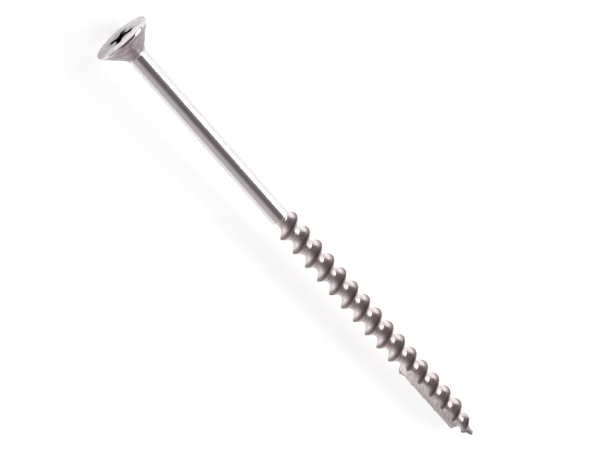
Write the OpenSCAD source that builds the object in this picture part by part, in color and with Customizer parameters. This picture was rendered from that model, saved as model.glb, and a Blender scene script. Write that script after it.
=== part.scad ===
// Deck screw with a countersunk head, a plain shank, a coarse thread and a
// fluted point, lying on the rim of its head and a crest of its thread.

/* [Overall] */
// Length from the flat of the head to the tip
length = 88.9; // [75:0.1:110]
// Length of the threaded end, point included
thread_length = 50.8; // [30:0.1:60]

/* [Head] */
// Diameter across the rim
head_d = 9.1; // [8.2:0.1:11]
// Included angle of the cone under the rim
head_angle = 88; // [78:1:96]
// Height of the straight rim above the cone
rim_h = 0.4; // [0.25:0.05:0.8]
// Radius of the rounded edge of the flat
edge_r = 0.12; // [0.05:0.01:0.2]

/* [Drive] */
// Span of the cross recess across two opposite wings
drive_span = 4.5; // [3.8:0.1:5]
// Width of a wing
wing_w = 1.1; // [0.8:0.05:1.3]
// Depth of the wings
drive_depth = 2.3; // [1.6:0.1:2.4]
// Lean of a wing's outer end away from the axis
wing_slope = 26.5; // [20:0.5:28]
// Distance from the axis to the corners that widen the middle of the cross
drive_core_r = 1.5; // [1.3:0.05:1.7]
// Diameter of the pit under the cross
pit_d = 1.9; // [1.4:0.1:2]
// Depth of the pit
pit_depth = 0.8; // [0.4:0.1:0.9]
// Turn of the cross about the axis
drive_turn = 25; // [0:5:90]

/* [Shank] */
// Diameter of the plain shank
shank_d = 3.25; // [2.9:0.05:3.8]
// Radius of the fillet where the head's cone meets the shank
neck_r = 1; // [0.4:0.1:2]
// Length of the bevel that ends the shank
shoulder_bevel = 0.35; // [0.2:0.05:0.6]

/* [Thread] */
// Advance in one turn
pitch = 3.1; // [2.7:0.05:4]
// Diameter over the crests
major_d = 4.5; // [4.2:0.1:4.8]
// Diameter of the core between the crests
root_d = 2.25; // [2:0.05:2.7]
// Slope of each flank away from a plane across the axis
flank_angle = 46; // [24:1:48]
// Width of the flat on a crest
crest_w = 0.12; // [0.08:0.01:0.2]
// Turns over which the crest rises out of the shank
run_in_turns = 0.4; // [0.25:0.05:1]
// Facets in one turn
facets = 32; // [24:4:40]

/* [Point] */
// Length over which the core and the crests narrow to the tip
point_l = 5.6; // [4:0.1:8]
// Fullness of the point: 1 is a plain cone, and less is a rounder nose
point_power = 0.55; // [0.5:0.05:1]
// Distance from the tip to the last full crest on the underside
last_crest = 7.2; // [6:0.1:12]
// Length of the flute, from the tip
flute_l = 19; // [12:0.5:24]
// Length over which the flute runs out of the thread
flute_run_out = 3; // [2:0.5:6]
// Distance from the axis to the flute's floor
flute_floor = 0.45; // [0.3:0.05:0.7]
// Turn of the floor about the axis, away from the upper side
flute_turn = 35; // [20:5:50]
// Distance of the flute's wall beyond the axis
flute_wall = 0.3; // [0.1:0.05:0.5]
// Distance from the axis to the outer edge of the cutting lip
lip_r = 2.1; // [1.8:0.05:2.1]
// Distance from the tip to the front of the lip
lip_front = 3.1; // [2.5:0.1:4.5]

/* [Hidden] */

smooth = 96;
arc_steps = 8;
head_r = head_d / 2;
shank_r = shank_d / 2;
major_r = major_d / 2;
root_r = root_d / 2;
shoulder = length - thread_length;

// The cone narrows from the rim to the shank, and the fillet rounds their meeting
half_cone = head_angle / 2;
cone_end = rim_h + (head_r - shank_r) / tan(half_cone);
neck_centre = [shank_r + neck_r, cone_end + neck_r * tan(half_cone / 2)];

// The helix passes the underside at the last full crest, and it starts hidden in the shank
contact_crest = length - last_crest;
turns_before = floor((contact_crest - shoulder) / pitch) + 2;
first_crest = contact_crest - pitch * turns_before;
// The facets of the helix stop short of the tip, where the core ends in a plain cone
plain_tip = 0.5;
steps = floor((length - plain_tip - first_crest) / pitch * facets);
ridge_rows = 4;

// The lip spans these degrees below the middle of the flute's floor
lip_start = 60;
lip_width = 46;
lip_steps = 4;

// At rest the screw touches the ground at the rim's lower edge and at the contact crest
rest_tilt = atan((head_r - major_r) / (contact_crest + crest_w / 2 - rim_h));
axis_height = rim_h * sin(rest_tilt) + head_r * cos(rest_tilt);
head_reach = (head_r - edge_r) * sin(rest_tilt);
middle = (length * cos(rest_tilt) - head_reach) / 2;

// 1 along the thread, and falling to 0 at the tip
function taper(s) = min(1, pow(max(0, length - s) / point_l, point_power));

// 0 inside the shank, half at the shoulder and 1 where the crest has its full height
function risen(s) = max(0, min(1, (s - shoulder) / (pitch * run_in_turns) + 1 / 2));

// Corners of the ridge at one step along the helix: foot, crest, crest, foot
function ridge_section(step) =
    let (
        angle = 360 * step / facets,
        crest = first_crest + pitch * step / facets,
        height = (major_r - root_r) * taper(crest),
        top = crest_w / 2 * taper(crest),
        foot = top + height * tan(flank_angle),
        lift = height * risen(crest)
    )
    [
        for (corner = [[-foot, 0], [-top, lift], [top, lift], [foot, 0]])
        let (
            s = crest + corner[0],
            r = root_r * taper(s) + corner[1]
        )
        [r * cos(angle), r * sin(angle), s]
    ];

function vertex(step, row) = ridge_rows * step + row;

function two_triangles(a, b, c, d) = [[a, b, c], [a, c, d]];

// Outline of the head and shank as [radius, distance from the flat]
function head_and_shank() = concat(
    [[0, 0]],
    [
        for (k = [0 : arc_steps])
        let (turn = 90 * k / arc_steps)
        [head_r - edge_r + edge_r * sin(turn), edge_r - edge_r * cos(turn)]
    ],
    [[head_r, rim_h]],
    [
        for (k = [0 : arc_steps])
        let (turn = half_cone * (1 - k / arc_steps))
        neck_centre - neck_r * [cos(turn), sin(turn)]
    ],
    [
        [shank_r, shoulder - shoulder_bevel],
        [shank_r - shoulder_bevel, shoulder],
        [0, shoulder]
    ]
);

// Core and ridge of the thread as one closed skin that follows the helix
module threaded_end() {
    last = facets - 1;
    far_foot = ridge_rows - 1;
    start_point = ridge_rows * (steps + 1);
    tip_point = start_point + 1;
    points = concat(
        [for (step = [0 : steps]) each ridge_section(step)],
        [[0, 0, first_crest], [0, 0, length]]
    );
    ridge = [
        for (step = [0 : steps - 1], row = [0 : ridge_rows - 2])
        each two_triangles(
            vertex(step, row), vertex(step, row + 1),
            vertex(step + 1, row + 1), vertex(step + 1, row)
        )
    ];
    core = [
        for (step = [0 : steps - facets - 1])
        each two_triangles(
            vertex(step, far_foot), vertex(step + facets, 0),
            vertex(step + facets + 1, 0), vertex(step + 1, far_foot)
        )
    ];
    start_cap = concat(
        [for (step = [0 : last]) [vertex(step, 0), vertex(step + 1, 0), start_point]],
        [for (row = [0 : ridge_rows - 2]) [vertex(0, row + 1), vertex(0, row), start_point]],
        [[vertex(facets, 0), vertex(0, far_foot), start_point]]
    );
    tip_cone = concat(
        [
            for (step = [steps - facets : steps - 1])
            [vertex(step + 1, far_foot), vertex(step, far_foot), tip_point]
        ],
        [for (row = [0 : ridge_rows - 2]) [vertex(steps, row), vertex(steps, row + 1), tip_point]],
        [[vertex(steps - facets, far_foot), vertex(steps, 0), tip_point]]
    );
    polyhedron(points, concat(ridge, core, start_cap, tip_cone), convexity = 12);
}

// Cross recess: two crossed wings inside a cone, and the pit that the punch leaves
module drive_recess() {
    clear = 1;
    narrowing = 2 * tan(wing_slope);
    rotate([0, 0, drive_turn]) {
        intersection() {
            translate([0, 0, -clear])
                linear_extrude(drive_depth + clear)
                    cross_outline();
            translate([0, 0, -clear])
                cylinder(
                    d1 = drive_span + clear * narrowing,
                    d2 = drive_span - drive_depth * narrowing,
                    h = drive_depth + clear,
                    $fn = smooth
                );
        }
        translate([0, 0, drive_depth])
            cylinder(d1 = pit_d, d2 = pit_d / 4, h = pit_depth, $fn = smooth);
    }
}

module cross_outline() {
    reach = 2 * drive_span;
    square([reach, wing_w], center = true);
    square([wing_w, reach], center = true);
    rotate([0, 0, 45])
        square(drive_core_r * sqrt(2), center = true);
}

// Space that the flute takes away: above a floor along the axis, up to a wall square to it
module flute() {
    clear = 2;
    start = length - flute_l;
    end = length + clear;
    rotate([0, 0, flute_turn])
        translate([0, flute_wall, 0])
            rotate([90, 0, 0])
                linear_extrude(2 * major_d)
                    polygon([
                        [-flute_floor, end],
                        [-flute_floor, start + flute_run_out],
                        [-major_r, start],
                        [-major_d, start],
                        [-major_d, end]
                    ]);
}

// Metal between the crests that makes the edge of the flute's floor a straight cutting lip
module lip() {
    lip_l = flute_l - flute_run_out / 2 - lip_front;
    translate([0, 0, length - lip_front - lip_l])
        linear_extrude(lip_l)
            polygon(concat(
                [[0, 0]],
                [
                    for (k = [0 : lip_steps])
                    let (turn = 180 + flute_turn + lip_start + lip_width * k / lip_steps)
                    lip_r * [cos(turn), sin(turn)]
                ]
            ));
}

// The screw with its axis upright, its flat at zero and its tip above
module screw_on_axis() {
    difference() {
        union() {
            rotate_extrude($fn = smooth) polygon(head_and_shank());
            threaded_end();
            lip();
        }
        drive_recess();
        flute();
    }
}

module deck_screw() {
    color("silver")
        translate([-middle, 0, axis_height])
            rotate([0, 90 + rest_tilt, 0])
                screw_on_axis();
}

deck_screw();
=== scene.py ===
# %% [markdown]
# # A deck screw on a white table
# The screw is one piece of stainless wire: a countersunk head with a cross recess, a plain
# shank, a coarse thread and a fluted point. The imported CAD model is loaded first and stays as
# the frame, so every size and place below is the CAD's own, in metres.

# %% Load the frame
import math

import bmesh
import bpy
from mathutils import Matrix, Vector


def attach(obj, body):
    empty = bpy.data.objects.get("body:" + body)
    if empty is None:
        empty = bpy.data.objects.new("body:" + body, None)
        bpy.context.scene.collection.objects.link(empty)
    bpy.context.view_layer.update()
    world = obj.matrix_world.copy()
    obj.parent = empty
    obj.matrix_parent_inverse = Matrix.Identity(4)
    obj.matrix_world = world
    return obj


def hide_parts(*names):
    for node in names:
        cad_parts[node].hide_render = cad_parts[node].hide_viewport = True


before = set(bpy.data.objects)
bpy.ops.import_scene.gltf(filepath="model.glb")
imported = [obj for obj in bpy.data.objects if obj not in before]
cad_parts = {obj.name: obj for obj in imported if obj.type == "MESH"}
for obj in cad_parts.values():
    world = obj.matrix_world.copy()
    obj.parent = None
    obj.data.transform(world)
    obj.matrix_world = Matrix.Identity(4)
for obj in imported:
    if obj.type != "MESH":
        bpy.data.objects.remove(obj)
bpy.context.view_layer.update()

# %% [markdown]
# ## Sizes
# A screw is easiest to shape while it stands on its head: the flat of the head is at height
# zero, the axis is Z and the tip is at the top. It is laid down at the very end. All lengths
# are worked out here once, so that a shape can be traced back to a number. A hair is the
# tolerance for picking what lies in a plane.

# %% Sizes of the standing screw
MM = 0.001
HAIR = 0.001 * MM
LENGTH, SHOULDER = 88.9 * MM, 38.1 * MM
HEAD_R, RIM_H, EDGE_R, HALF_CONE = 4.55 * MM, 0.4 * MM, 0.12 * MM, math.radians(44)
SHANK_R, NECK_R, BEVEL = 1.625 * MM, 1.0 * MM, 0.35 * MM
CONTACT_FROM_TIP = 7.2 * MM
PITCH, CREST_R, ROOT_R, FLANK = 3.1 * MM, 2.25 * MM, 1.125 * MM, math.radians(46)
CREST_W, RUN_IN, POINT_L, POINT_POWER = 0.12 * MM, 0.4 * PITCH, 5.6 * MM, 0.55
CONTACT = LENGTH - CONTACT_FROM_TIP
TILT = math.atan((HEAD_R - CREST_R) / (CONTACT + CREST_W / 2 - RIM_H))
AXIS_HEIGHT = RIM_H * math.sin(TILT) + HEAD_R * math.cos(TILT)
MIDDLE = (LENGTH * math.cos(TILT) - (HEAD_R - EDGE_R) * math.sin(TILT)) / 2
print("slope at rest:", round(math.degrees(TILT), 3), "degrees")

# %% [markdown]
# ## Small helpers
# Operators act on whatever is selected, so each step starts from an empty selection. Vertices
# and edges are then picked by their place, as a hand would pick them with the mouse.

# %% Selecting
def deselect_all():
    bpy.ops.object.select_all(action="DESELECT")


def make_active(piece):
    deselect_all()
    piece.select_set(True)
    bpy.context.view_layer.objects.active = piece


def pick(piece, wanted):
    """Selects the vertices of the piece being edited for which wanted(place) is true."""
    bpy.ops.mesh.select_mode(type="VERT")
    bpy.ops.mesh.select_all(action="DESELECT")
    mesh = bmesh.from_edit_mesh(piece.data)
    for vert in mesh.verts:
        vert.select_set(wanted(vert.co))
    mesh.select_flush_mode()
    bmesh.update_edit_mesh(piece.data)


def pick_edges(piece, wanted):
    """Selects the edges for which wanted(one end, other end) is true."""
    bpy.ops.mesh.select_mode(type="EDGE")
    bpy.ops.mesh.select_all(action="DESELECT")
    mesh = bmesh.from_edit_mesh(piece.data)
    for edge in mesh.edges:
        edge.select_set(wanted(edge.verts[0].co, edge.verts[1].co))
    mesh.select_flush_mode()
    bmesh.update_edit_mesh(piece.data)


# %% Measuring
def describe(piece):
    mesh = bmesh.new()
    mesh.from_mesh(piece.data)
    open_edges = sum(not edge.is_manifold for edge in mesh.edges)
    volume = mesh.calc_volume() / MM**3
    mesh.free()
    corners = [[round(f(v.co[k] for v in piece.data.vertices) / MM, 3) for k in range(3)]
               for f in (min, max)]
    print(piece.name, len(piece.data.polygons), "faces,", open_edges, "open edges,", end=" ")
    print(round(volume, 1), "mm3, from", corners[0], "to", corners[1])


# %% Finishing a shape
def apply_modifiers(piece):
    make_active(piece)
    for modifier in list(piece.modifiers):
        bpy.ops.object.modifier_apply(modifier=modifier.name)


def weld(piece):
    """Merges vertices that lie in one place."""
    make_active(piece)
    bpy.ops.object.mode_set(mode="EDIT")
    bpy.ops.mesh.select_all(action="SELECT")
    bpy.ops.mesh.remove_doubles(threshold=HAIR / 2)
    bpy.ops.object.mode_set(mode="OBJECT")


def combine(piece, tool, operation):
    """Joins the tool to the piece, cuts it away or keeps what both share. The tool is used up."""
    modifier = piece.modifiers.new("combine", "BOOLEAN")
    modifier.object = tool
    modifier.operation = operation
    modifier.solver = "EXACT"
    apply_modifiers(piece)
    bpy.data.objects.remove(tool, do_unlink=True)


# %% [markdown]
# ## Head and shank
# A factory upsets the head from a straight wire in one blow, so the head and the shank are
# round and share one axis. A disc that is extruded again and again, each time moved up and
# scaled to the next radius, grows like clay on a potter's wheel. This keeps the rings even,
# and highlights run clean down the shank.

# %% The outline as rings
RIM_ROUND, BREAK = 0.05 * MM, 0.03 * MM


def arc(centre, radius, start, end, count):
    """Points (radius from the axis, height) on an arc, with angles from the outward direction."""
    turns = [start + (end - start) * k / count for k in range(count + 1)]
    return [(centre[0] + radius * math.cos(a), centre[1] + radius * math.sin(a)) for a in turns]


cone_end = RIM_H + (HEAD_R - SHANK_R) / math.tan(HALF_CONE)
neck = (SHANK_R + NECK_R, cone_end + NECK_R * math.tan(HALF_CONE / 2))
outline = arc((HEAD_R - EDGE_R, EDGE_R), EDGE_R, math.radians(-90), 0, 6)
outline += arc((HEAD_R - RIM_ROUND, RIM_H - BREAK), RIM_ROUND, 0, HALF_CONE, 3)
outline += arc(neck, NECK_R, math.pi + HALF_CONE, math.pi, 10)
outline += [(SHANK_R, SHOULDER - 2 * BEVEL), (SHANK_R, SHOULDER - BEVEL - 0.1 * MM)]
outline += [(SHANK_R - 0.02 * MM, SHOULDER - BEVEL)]
outline += [(SHANK_R - BEVEL + BREAK, SHOULDER - BREAK), (SHANK_R - BEVEL, SHOULDER)]
print(len(outline), "rings from the rim to the shoulder")


# %% Growing the blank ring by ring
def grow(rings, name, segments=128):
    radius, height = rings[0]
    deselect_all()
    bpy.ops.mesh.primitive_circle_add(
        vertices=segments, radius=radius, fill_type="NGON", location=(0, 0, height)
    )
    piece = bpy.context.object
    piece.name = name
    bpy.ops.object.transform_apply()
    bpy.ops.object.mode_set(mode="EDIT")
    bpy.ops.mesh.select_all(action="SELECT")
    for next_radius, next_height in rings[1:]:
        bpy.ops.mesh.extrude_region_move(
            TRANSFORM_OT_translate={"value": (0, 0, next_height - height)}
        )
        k = next_radius / radius
        bpy.ops.transform.resize(value=(k, k, 1), center_override=(0, 0, next_height))
        radius, height = next_radius, next_height
    bpy.ops.mesh.select_all(action="SELECT")
    bpy.ops.mesh.normals_make_consistent(inside=False)
    bpy.ops.object.mode_set(mode="OBJECT")
    return piece


screw = grow(outline, "screw")
describe(screw)

# %% [markdown]
# ## Thread
# Rolling dies press the thread into the wire, so it is one ridge that winds round the core.
# One pitch of its outline, drawn as a chain of vertices, is carried round and up by the Screw
# modifier. The chain ends where the next turn begins, so welding the doubles closes the skin.
# The ridge has a rounded crest and rounded feet, as rolled metal has.

# %% One pitch of the outline
TOP = CREST_W / 2
HEIGHT = CREST_R - ROOT_R
FOOT = TOP + HEIGHT * math.tan(FLANK)
FILLET, FLANK_LEAN = 0.3 * MM, math.pi / 2 - FLANK
REACH = FOOT + FILLET * math.tan(FLANK_LEAN / 2)
FILLET_STEPS, MID_FLANK, CREST_ROUND, CREST_DIP = 4, 0.65, 0.04 * MM, 0.006 * MM
GAP_ROWS = 3


def half_ridge():
    """Points (offset along the axis, height over the core) from the foot up to the crest."""
    turns = [FLANK_LEAN * k / FILLET_STEPS for k in range(FILLET_STEPS + 1)]
    points = [(FILLET * math.sin(a) - REACH, FILLET * (1 - math.cos(a))) for a in turns]
    points += [(-TOP - (1 - MID_FLANK) * HEIGHT * math.tan(FLANK), MID_FLANK * HEIGHT)]
    points += [(-TOP - CREST_ROUND, HEIGHT - CREST_ROUND), (-0.5 * TOP, HEIGHT - CREST_DIP)]
    return points


rising = half_ridge()
ridge = rising + [(0, HEIGHT)] + [(-x, h) for x, h in reversed(rising)]
gap = PITCH - 2 * REACH
ridge += [(REACH + gap * (k + 1) / (GAP_ROWS + 1), 0) for k in range(GAP_ROWS + 1)]
print(len(ridge), "points, and", round(gap / MM, 3), "mm of bare core between two turns")

# %% Carrying the outline round the axis
TURNS_BEFORE = math.floor((CONTACT - SHOULDER) / PITCH) + 2
FIRST_CREST = CONTACT - PITCH * TURNS_BEFORE
TURNS = math.ceil((LENGTH - FIRST_CREST) / PITCH) + 1
STEPS_IN_A_TURN = 64


def draw_chain(points, name):
    """Extrudes a single vertex along the points."""
    deselect_all()
    bpy.ops.mesh.primitive_plane_add(size=MM, location=points[0])
    piece = bpy.context.object
    piece.name = name
    bpy.ops.object.transform_apply()
    bpy.ops.object.mode_set(mode="EDIT")
    bpy.ops.mesh.select_all(action="SELECT")
    bpy.ops.mesh.merge(type="CENTER")
    for a, b in zip(points, points[1:]):
        step = [v - u for u, v in zip(a, b)]
        bpy.ops.mesh.extrude_vertices_move(TRANSFORM_OT_translate={"value": step})
    bpy.ops.object.mode_set(mode="OBJECT")
    return piece


thread = draw_chain([(ROOT_R + h, 0, FIRST_CREST + x) for x, h in ridge], "thread")
turning = thread.modifiers.new("turning", "SCREW")
turning.axis = "Z"
turning.screw_offset = PITCH
turning.iterations = TURNS
turning.steps = turning.render_steps = STEPS_IN_A_TURN
apply_modifiers(thread)
weld(thread)
print("thread:", len(thread.data.vertices), "vertices in", TURNS, "turns")

# %% [markdown]
# ## Run-in and point
# The dies open gradually at both ends of the thread: the ridge rises out of the shank over
# part of a turn, and at the tip the ridge and the core shrink together to a full, rounded
# nose. No operator knows this taper, so each vertex is moved by the same formula that the CAD
# model uses: its place on its own turn decides how much of the full height is left.

# %% Moving each vertex to its tapered place
def taper(s):
    return min(1, (max(0, LENGTH - s) / POINT_L) ** POINT_POWER)


def risen(s):
    return max(0, min(1, (s - SHOULDER) / RUN_IN + 1 / 2))


def drawn_in(co):
    """The place of a vertex once its turn has its share of the taper and the run-in."""
    turn = math.atan2(co.y, co.x) / (2 * math.pi) % 1
    offset = (co.z - FIRST_CREST - PITCH * turn + REACH) % PITCH - REACH
    crest = co.z - offset
    here, after = taper(crest), taper(crest + PITCH)
    if offset <= REACH:
        s = crest + offset * here
    else:
        share = (offset - REACH) / gap
        s = crest + (1 - share) * REACH * here + share * (PITCH - REACH * after)
    over_core = math.hypot(co.x, co.y) - ROOT_R
    k = (ROOT_R * taper(s) + over_core * here * risen(crest)) / (ROOT_R + over_core)
    return Vector((co.x * k, co.y * k, s))


for vert in thread.data.vertices:
    vert.co = drawn_in(vert.co)
crests = sorted(v.co.z / MM for v in thread.data.vertices if v.co.x < -CREST_R + HAIR)
print("last full crest on the near side:", round(crests[-1], 2), "mm from the flat")

# %% [markdown]
# A plane that cuts the winding skin square across also closes it, which leaves a flat end to
# work from. The lower end is hidden inside the shank. The upper one is drawn out to the tip.

# %% Closing both ends
LOWER_END, UPPER_END = SHOULDER - 1.2 * MM, LENGTH - 0.4 * MM
PLANE_TOLERANCE = 1e-8
make_active(thread)
bpy.ops.object.mode_set(mode="EDIT")
for height, up in ((LOWER_END, -1), (UPPER_END, 1)):
    bpy.ops.mesh.select_all(action="SELECT")
    bpy.ops.mesh.bisect(
        plane_co=(0, 0, height), plane_no=(0, 0, up), use_fill=True, clear_outer=True,
        threshold=PLANE_TOLERANCE,
    )
pick(thread, lambda co: co.z > UPPER_END - HAIR)
bpy.ops.mesh.extrude_region_move(
    TRANSFORM_OT_translate={"value": (0, 0, LENGTH - UPPER_END)}
)
bpy.ops.mesh.merge(type="CENTER")
pick(thread, lambda co: co.z > LENGTH - HAIR)
bpy.ops.transform.resize(value=(0, 0, 1), center_override=(0, 0, LENGTH))
bpy.ops.mesh.select_all(action="SELECT")
bpy.ops.mesh.normals_make_consistent(inside=False)
bpy.ops.object.mode_set(mode="OBJECT")
describe(thread)

# %% [markdown]
# ## Cutting lip
# Between the last turns, metal fills the grooves beside the flute, so that the flute's edge is
# one straight cutting lip with a spur at its front. A plain wedge from the axis to just under
# the crests stands in for that metal and is welded on with a Boolean.

# %% A wedge from a disc
FLUTE_L, FLUTE_RUN_OUT, FLUTE_FLOOR, FLUTE_WALL = 19 * MM, 3 * MM, 0.45 * MM, 0.3 * MM
FLUTE_TURN = math.radians(35)
LIP_R, LIP_FRONT, LIP_START, LIP_WIDTH = 2.1 * MM, 3.1 * MM, math.radians(60), math.radians(46)
lip_end = LENGTH - LIP_FRONT
lip_start = LENGTH - FLUTE_L + FLUTE_RUN_OUT / 2

lip = grow([(LIP_R, lip_start), (LIP_R, lip_end)], "lip", 96)
bpy.ops.object.mode_set(mode="EDIT")
first = math.pi + FLUTE_TURN + LIP_START
for turn, side in ((first, -1), (first + LIP_WIDTH, 1)):
    across = (-side * math.sin(turn), side * math.cos(turn), 0)
    bpy.ops.mesh.select_all(action="SELECT")
    bpy.ops.mesh.bisect(
        plane_co=(0, 0, lip_end), plane_no=across, use_fill=True, clear_outer=True,
        threshold=PLANE_TOLERANCE,
    )
bpy.ops.mesh.select_all(action="SELECT")
bpy.ops.mesh.normals_make_consistent(inside=False)
bpy.ops.object.mode_set(mode="OBJECT")
describe(lip)

# %% [markdown]
# ## Flute
# The flute is a notch, milled along the point to make room for chips. The cutter is a block
# whose corner edge is the floor's inner edge, and its lower end is slanted where the real
# cutter lifted out of the metal.

# %% The block that cuts the flute
BLOCK, PAST_TIP = 4 * MM, 2 * MM
block_low, block_high = LENGTH - FLUTE_L + FLUTE_RUN_OUT, LENGTH + PAST_TIP
deselect_all()
bpy.ops.mesh.primitive_cube_add(
    size=1,
    location=(-FLUTE_FLOOR - BLOCK / 2, FLUTE_WALL - BLOCK, (block_low + block_high) / 2),
    scale=(BLOCK, 2 * BLOCK, block_high - block_low),
)
flute = bpy.context.object
flute.name = "flute"
bpy.ops.object.transform_apply()
bpy.ops.object.mode_set(mode="EDIT")
pick(flute, lambda co: co.z < LENGTH - FLUTE_L / 2 and co.x < -FLUTE_FLOOR - BLOCK / 2)
slant = FLUTE_RUN_OUT / (CREST_R - FLUTE_FLOOR)
bpy.ops.transform.translate(value=(0, 0, -slant * BLOCK))
bpy.ops.object.mode_set(mode="OBJECT")
flute.rotation_euler = (0, 0, FLUTE_TURN)
make_active(flute)
bpy.ops.object.transform_apply()
describe(flute)

# %% [markdown]
# ## Cross recess
# A punch drives the cross into the head: four wings that get narrower with depth, a wider
# middle and a small pit. A cube with its upright edges bevelled has four faces left for the
# wings, which are extruded outwards. A cone then trims the wings to their slope.

# %% The cross and its pit
SPAN_R, WING_W, DRIVE_DEPTH = 2.25 * MM, 1.1 * MM, 2.3 * MM
WING_SLOPE, CORE_R, CLEAR = math.radians(26.5), 1.5 * MM, 1 * MM
PIT_R, PIT_DEPTH, DRIVE_TURN = 0.95 * MM, 0.8 * MM, math.radians(25)

deselect_all()
half = CORE_R - WING_W / 2
tall = DRIVE_DEPTH + CLEAR
bpy.ops.mesh.primitive_cube_add(
    size=1, location=(0, 0, DRIVE_DEPTH - tall / 2), scale=(2 * half, 2 * half, tall)
)
cross = bpy.context.object
cross.name = "cross"
bpy.ops.object.transform_apply()
bpy.ops.object.mode_set(mode="EDIT")
pick_edges(cross, lambda a, b: abs(a.z - b.z) > MM)
bpy.ops.mesh.bevel(offset=half - WING_W / 2, segments=1)
for x, y in ((1, 0), (0, 1), (-1, 0), (0, -1)):
    pick(cross, lambda co: co.x * x + co.y * y > half - HAIR)
    bpy.ops.mesh.extrude_region_move(
        TRANSFORM_OT_translate={"value": (x * SPAN_R, y * SPAN_R, 0)}
    )
bpy.ops.mesh.select_all(action="SELECT")
bpy.ops.mesh.normals_make_consistent(inside=False)
bpy.ops.object.mode_set(mode="OBJECT")
describe(cross)

# %% Trimming the wings and adding the pit
OVERLAP = 0.2 * MM
lean = math.tan(WING_SLOPE)
trim = grow([(SPAN_R + CLEAR * lean, -CLEAR), (SPAN_R - DRIVE_DEPTH * lean, DRIVE_DEPTH)], "trim")
combine(cross, trim, "INTERSECT")
pit_rings = [(PIT_R, DRIVE_DEPTH - OVERLAP), (PIT_R, DRIVE_DEPTH)]
pit = grow(pit_rings + [(PIT_R / 4, DRIVE_DEPTH + PIT_DEPTH)], "pit", 64)
combine(cross, pit, "UNION")
cross.rotation_euler = (0, 0, DRIVE_TURN)
make_active(cross)
bpy.ops.object.transform_apply()
describe(cross)

# %% [markdown]
# ## One piece of metal
# The thread and the lip are joined to the blank, and the flute and the recess are cut out of
# it. A Boolean can leave two vertices in one place, so doubles are merged at the end. The volume
# is printed; the CAD model has 777.7 cubic millimetres.

# %% Joining and cutting
combine(screw, thread, "UNION")
combine(screw, lip, "UNION")
combine(screw, flute, "DIFFERENCE")
combine(screw, cross, "DIFFERENCE")
weld(screw)
describe(screw)

# %% Laying the screw down
SHARP_FROM = math.radians(32)
screw.rotation_euler = (0, math.pi / 2 + TILT, 0)
screw.location = (-MIDDLE, 0, AXIS_HEIGHT)
make_active(screw)
bpy.ops.object.transform_apply()
bpy.ops.object.shade_smooth_by_angle(angle=SHARP_FROM)
describe(screw)

# %% [markdown]
# ## Shader helpers
# A finish is worked out from numbers that change over the surface. A small class wraps a
# node's output, so that sums and products are written as plain Python and each one adds its
# Math node.

# %% Numbers that are sockets
class Wire:
    """A node's output that can stand in a Python expression."""

    def __init__(self, finish, socket):
        self.finish, self.socket = finish, socket

    def maths(self, operation, *values):
        sockets = dict(enumerate(values))
        return self.finish.node("ShaderNodeMath", {"operation": operation}, sockets)

    def __add__(self, other):
        return self.maths("ADD", self, other)

    def __sub__(self, other):
        return self.maths("SUBTRACT", self, other)

    def __rsub__(self, other):
        return self.maths("SUBTRACT", other, self)

    def __mul__(self, other):
        return self.maths("MULTIPLY", self, other)

    def __pow__(self, other):
        return self.maths("POWER", self, other)

    __radd__, __rmul__ = __add__, __mul__

    def fade(self, start, end):
        """0 where the number is at start, 1 where it is at end, and a ramp in between."""
        sockets = {"Value": self, "From Min": start, "From Max": end}
        return self.finish.node("ShaderNodeMapRange", {"clamp": True}, sockets)


# %% Any other node
class Finish:
    """The nodes of one material or of the world."""

    def __init__(self, owner):
        owner.use_nodes = True
        self.tree = owner.node_tree
        self.tree.nodes.clear()

    def node(self, kind, settings, sockets, output=0):
        made = self.tree.nodes.new(kind)
        for name, value in settings.items():
            setattr(made, name, value)
        for name, value in sockets.items():
            if isinstance(value, Wire):
                self.tree.links.new(value.socket, made.inputs[name])
            else:
                made.inputs[name].default_value = value
        return Wire(self, made.outputs[output]) if len(made.outputs) else made

    def blend(self, share, first, second):
        """The first colour where share is 0 and the second where it is 1."""
        return self.node("ShaderNodeMix", {"data_type": "RGBA"}, {0: share, 6: first, 7: second}, 2)

    def noise(self, x, y, z, detail):
        place = self.node("ShaderNodeCombineXYZ", {}, {"X": x, "Y": y, "Z": z})
        sockets = {"Vector": place, "Scale": 1.0, "Detail": detail}
        return self.node("ShaderNodeTexNoise", {}, sockets)


# %% [markdown]
# ## Rolled stainless steel
# Steel has no colour of its own to speak of: it shows the room. What the finish adds is how
# sharply it does so, where it is stained, and where shade and light are painted into its colour.
# The drawn shank mirrors softly with fine lines along it. The rolled thread is browner and
# duller: its crests carry painted shade, a mauve film stays in the roots, and one side of the
# thread has painted shade. The forged cone and the flat are mottled; the flat has painted shade
# on its lower part, darkest around the recess, and at one end the cone is painted lighter and
# the flat darker. The milled flute has cutter marks, and hardly any light comes back out of the
# recess. All of it is laid out along the screw's own axis, in millimetres.

# %% Place on the screw, in millimetres
steel = bpy.data.materials.new("stainless")
look = Finish(steel)
place = look.node("ShaderNodeTexCoord", {}, {}, "Object")
place = look.node("ShaderNodeMapping", {"vector_type": "TEXTURE"}, {
    "Vector": place, "Location": (-MIDDLE, 0, AXIS_HEIGHT),
    "Rotation": (0, math.pi / 2 + TILT, 0), "Scale": (MM, MM, MM),
})
split = {"Vector": place}
across, side, along = (look.node("ShaderNodeSeparateXYZ", {}, split, k) for k in range(3))
radius = (across * across + side * side) ** 0.5

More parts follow.
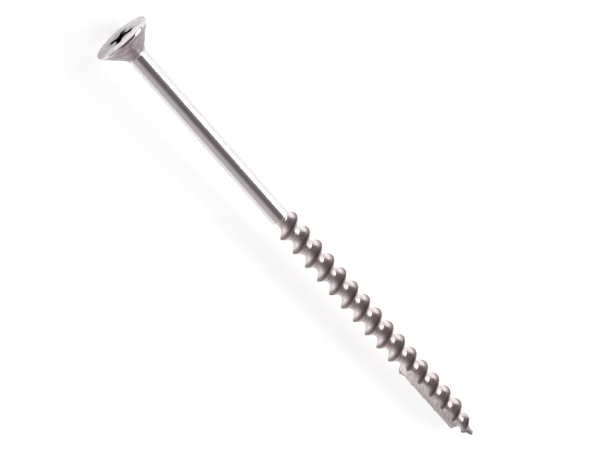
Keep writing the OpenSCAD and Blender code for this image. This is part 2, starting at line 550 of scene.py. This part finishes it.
# %% Spans in millimetres, each from where a finish begins to where it is full
THREAD_STARTS, FLUTE_STARTS = (37.7, 38.3), (69, 71)
ROOT_IN, CREST_OUT = (1.6, 1.2), (1.7, 2.1)
END_LIGHT_AND_SHADE_SPAN, SHADED_THREAD_SIDE = (-1.5, -3.5), (0.2, -1.4)
FLAT_DEPTH, BELOW_BAND, ROUND_RECESS = (0.3, 0.05), (-2.6, -1.0), (3.0, 1.8)
CONE_STARTS, CONE_ENDS, SHANK_STARTS = (0.35, 0.5), (3.8, 3.2), (3.2, 3.8)
RECESS_WALL, RECESS_DEPTH, WALL_SLOPE = (2.45, 2.3), (0.02, 0.3), 0.5
FLOOR_SKIN = (0.05, 0.03)
POINT_STARTS, MILLED_POINT_STARTS = (84.5, 86.5), (86.8, 87.6)

# %% Where each finish shows
threaded = along.fade(*THREAD_STARTS)
root = radius.fade(*ROOT_IN) * threaded
crest = radius.fade(*CREST_OUT) * threaded
# Painted light and shade at one end of the head: the cone is painted lighter there and the flat
# darker.
end_light_and_shade = side.fade(*END_LIGHT_AND_SHADE_SPAN)
flat = along.fade(*FLAT_DEPTH)
# The lower part of the flat, which is painted with shade.
flat_low = flat * across.fade(*BELOW_BAND)
flat_middle = flat_low * radius.fade(*ROUND_RECESS)
cone = along.fade(*CONE_STARTS) * along.fade(*CONE_ENDS)
shank = (1 - threaded) * along.fade(*SHANK_STARTS)
punched = (radius + along * WALL_SLOPE).fade(*RECESS_WALL) * along.fade(*RECESS_DEPTH)
over_floor = side * math.cos(FLUTE_TURN) - across * math.sin(FLUTE_TURN)
sunk = across * math.cos(FLUTE_TURN) + side * math.sin(FLUTE_TURN) + FLUTE_FLOOR / MM
milled = sunk.maths("ABSOLUTE", sunk).fade(*FLOOR_SKIN) * along.fade(*FLUTE_STARTS)
rolled = 1 - milled
# Painted shade along one side of the thread.
thread_side_shade = side.fade(*SHADED_THREAD_SIDE) * threaded * rolled
point = along.fade(*POINT_STARTS) * rolled + along.fade(*MILLED_POINT_STARTS) * milled

# %% Patterns, in features to a millimetre
lines = look.noise(across * 5, side * 5, along * 0.12, 3.0)
rings = look.noise(radius * 9, radius * 3, along * 0.3, 2.0)
mottle = look.noise(across * 1.1, side * 1.1, along * 1.1, 3.0)
grain = look.noise(across * 14, side * 14, along * 14, 2.0)
marks = look.noise((along + over_floor) * 2.6, (along - over_floor) * 0.35, 0.0, 1.0)
marks = marks.fade(0.4, 0.62)

# %% How strongly each part is stained, and where shade and light are painted
patches = (mottle - 0.5) * (root * 1.2 + cone * 1.4 + flat * 1.8)
stain_and_shade = root * 0.25 * rolled + milled * (marks * 0.28 + 0.08) + point
# Painted light and shade at one end of the head.
stain_and_shade = stain_and_shade + cone * (1 - end_light_and_shade * 0.35) + flat * end_light_and_shade * 0.3
# Painted shade on the flat's lower part.
stain_and_shade = stain_and_shade + flat_low * 0.6 + flat * 0.1
# Painted shade along one side of the thread is added here.
stain_and_shade = (stain_and_shade + thread_side_shade * 0.15 + patches).fade(0, 1)

# %% Colour
DRAWN_LIGHT, DRAWN_DARK = (0.86, 0.83, 0.835, 1), (0.76, 0.73, 0.735, 1)
ROLLED, STAINED_AND_SHADED, CREST_SHADE = (0.89, 0.795, 0.79, 1), (0.31, 0.26, 0.27, 1), (0.21, 0.155, 0.16, 1)
FLAT_SHADE, SHADED = (0.14, 0.11, 0.115, 1), (0.07, 0.05, 0.055, 1)

bright = look.blend(mottle, DRAWN_LIGHT, DRAWN_DARK)
warmed = look.blend(threaded * (0.9 - milled * 0.5), bright, ROLLED)
# The stain colour also carries the painted shade.
colour = look.blend(stain_and_shade, warmed, STAINED_AND_SHADED)
# Painted shade on the crests.
colour = look.blend(crest * 0.85 * rolled, colour, CREST_SHADE)
# Painted shade on the flat around the recess.
colour = look.blend(flat_middle * (1.1 - mottle), colour, FLAT_SHADE)
colour = look.blend(punched, colour, SHADED)

# %% Roughness and fine relief
POLISHED, BUMP_STRENGTH, BUMP_DEPTH = 0.16, 0.35, 0.02 * MM

rough = POLISHED + (lines * 0.06 + 0.07) * shank + cone * 0.16
rough = rough + threaded * 0.1 + root * 0.15 + crest * 0.2
relief = lines * 0.3 * shank + rings * 0.6 * threaded + mottle * 1.6 * cone + grain * 0.25
bump = look.node("ShaderNodeBump", {}, {
    "Strength": BUMP_STRENGTH, "Distance": BUMP_DEPTH, "Height": relief,
})

# %% The steel's own shader
shader = look.node("ShaderNodeBsdfPrincipled", {}, {
    "Base Color": colour, "Metallic": 1.0, "Roughness": rough, "Normal": bump,
})
look.node("ShaderNodeOutputMaterial", {}, {"Surface": shader})
screw.data.materials.clear()
screw.data.materials.append(steel)
print("stainless:", len(look.tree.nodes), "nodes")

# %% [markdown]
# ## Floor, room and lamp
# The photograph has a pure white ground. The floor is a matt off-white, and the camera and
# the mirror-like steel see it as white through Light Path, while it still takes a faint shadow.
# Polished steel is mostly a picture of its room, so the room is built from the shank's stripes:
# dim mauve walls overhead make the dark line, a grey panel on the left the grey stripe, and a
# soft box on the right the white one. A second panel beyond the tip lights the far flanks.

# %% Floor
FLOOR_W, PAPER, GLOW = 3, (0.8, 0.8, 0.8, 1), 0.7

deselect_all()
bpy.ops.mesh.primitive_plane_add(size=FLOOR_W)
floor = bpy.context.object
floor.name = "floor"
paper = bpy.data.materials.new("paper")
sheet = Finish(paper)
seen = [sheet.node("ShaderNodeLightPath", {}, {}, f"Is {ray} Ray")
        for ray in ("Camera", "Glossy", "Transmission")]
seen = seen[0].maths("MAXIMUM", seen[0], seen[1].maths("MAXIMUM", seen[1], seen[2]))
matt = sheet.node("ShaderNodeBsdfDiffuse", {}, {"Color": PAPER})
glow = sheet.node("ShaderNodeEmission", {}, {"Strength": seen * GLOW})
both = sheet.node("ShaderNodeAddShader", {}, {0: matt, 1: glow})
sheet.node("ShaderNodeOutputMaterial", {}, {"Surface": both})
floor.data.materials.append(paper)

# %% Room
room = bpy.data.worlds.new("room")
bpy.context.scene.world = room
air = Finish(room)
direction = air.node("ShaderNodeTexCoord", {}, {}, "Generated")


def towards(place):
    """1 in this direction, 0 at right angles to it."""
    sockets = {0: direction, 1: Vector(place).normalized()}
    return air.node("ShaderNodeVectorMath", {"operation": "DOT_PRODUCT"}, sockets, 1)


LEFT, AHEAD = (0, -0.98, 0.2), (1, 0, 0.2)
MAUVE, GREY = (0.125, 0.1, 0.105, 1), (0.53, 0.53, 0.53, 1)

panels = towards(LEFT).fade(0.42, 0.78) + towards(AHEAD).fade(0.64, 0.9)
walls = air.blend(panels.fade(0, 1), MAUVE, GREY)
light = air.node("ShaderNodeBackground", {}, {"Color": walls, "Strength": 1.0})
air.node("ShaderNodeOutputWorld", {}, {"Surface": light})


# %% Lamp
def soft_box(name, place, width, height, power):
    lamp = bpy.data.lights.new(name, "AREA")
    lamp.shape, lamp.size, lamp.size_y, lamp.energy = "RECTANGLE", width, height, power
    holder = bpy.data.objects.new(name, lamp)
    holder.location = place
    holder.rotation_euler = (-Vector(place)).to_track_quat("-Z", "Y").to_euler()
    bpy.context.collection.objects.link(holder)


soft_box("right_box", place=(0.22, 0.50, 0.27), width=0.7, height=0.3, power=2.9)

# %% [markdown]
# ## Camera
# The photograph looks down on the screw from slightly behind its head, so the head is nearer
# and the flat shows as a thin ellipse. The screw runs across the picture at nearly 48 degrees,
# which is the camera's own roll. The values were fitted to the head, the shoulder and the tip.

# %% Camera behind the head, looking down
LEAN, DISTANCE, FOCAL_PX = math.radians(21.5), 0.283, 1829.0
SEEN, OFFSET, ROLL = 40.9 * MM, 1.53 * MM, math.radians(48.68)
PICTURE_W, SENSOR_W, NEAREST = 600, 36, 0.01

axis = Vector((math.cos(TILT), 0, -math.sin(TILT)))
start = Vector((-MIDDLE, 0, AXIS_HEIGHT))
upright = Vector((math.sin(TILT), 0, math.cos(TILT)))
back = math.cos(LEAN) * upright - math.sin(LEAN) * axis
ahead = (axis + math.sin(LEAN) * back) / math.cos(LEAN)
beside = Vector((0, 1, 0))
target = start + axis * SEEN + beside * OFFSET
right = math.cos(ROLL) * ahead + math.sin(ROLL) * beside
top = -math.sin(ROLL) * ahead + math.cos(ROLL) * beside
lens = bpy.data.cameras.new("camera")
lens.lens = FOCAL_PX * SENSOR_W / PICTURE_W
lens.sensor_width, lens.clip_start = SENSOR_W, NEAREST
camera = bpy.data.objects.new("camera", lens)
camera.matrix_world = Matrix((right, top, back)).transposed().to_4x4()
camera.location = target + back * DISTANCE
print("camera", round(DISTANCE / MM), "mm from", [round(v / MM, 1) for v in target])
bpy.context.collection.objects.link(camera)
bpy.context.scene.camera = camera
bpy.context.scene.view_settings.view_transform = "Standard"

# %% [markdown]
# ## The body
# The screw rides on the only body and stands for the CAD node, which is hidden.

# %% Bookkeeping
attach(screw, "root")
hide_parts("deck_screw")
